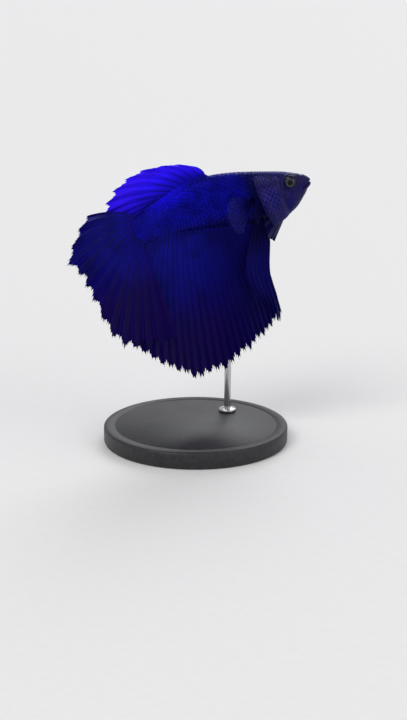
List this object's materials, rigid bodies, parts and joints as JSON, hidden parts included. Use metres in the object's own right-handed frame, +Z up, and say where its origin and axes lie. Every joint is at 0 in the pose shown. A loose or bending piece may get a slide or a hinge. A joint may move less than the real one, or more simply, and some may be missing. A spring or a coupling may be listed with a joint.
{
  "type": "betta fish model",
  "caption": "Life-size still model of a dark blue male betta fish, fins and gill covers spread and tail bent to its right, held on a round base by a thin rod.",
  "frame": {"origin": "centre of the underside of the display stand's round base", "axes": "+X is the way the head faces, +Y is the fish's left, +Z is up; the underside of the base faces -Z"},
  "size_m": [0.0674, 0.054, 0.0807],
  "materials": {
    "skin": "deep royal blue scaled skin with a wet satin sheen",
    "face": "dark grey, faintly brown and blue, smooth and wet",
    "beard": "near-black ruffled membrane",
    "fin": "royal to violet blue fin membrane between fine darker rays, plum towards the lower edge",
    "clear_fin": "thin smoky blue membrane over fine rays",
    "eye": "black pupil in a dark iris under a clear glossy cornea",
    "stand_base": "plain black acrylic, satin top and polished edge",
    "stand_rod": "thin bright steel rod"
  },
  "bodies": {
    "root": {"head": "face", "lower_jaw": "face", "gill_cover_right": "face", "gill_cover_left": "face", "throat_membrane": "beard", "trunk": "skin", "tail_stalk": "skin", "eye_right": "eye", "eye_left": "eye", "dorsal_fin": "fin", "caudal_fin": "fin", "anal_fin": "fin", "pelvic_fin_right": "fin", "pelvic_fin_left": "fin", "pectoral_fin_right": "clear_fin", "pectoral_fin_left": "clear_fin", "stand_base": "stand_base", "stand_rod": "stand_rod"}
  },
  "joints": []
}
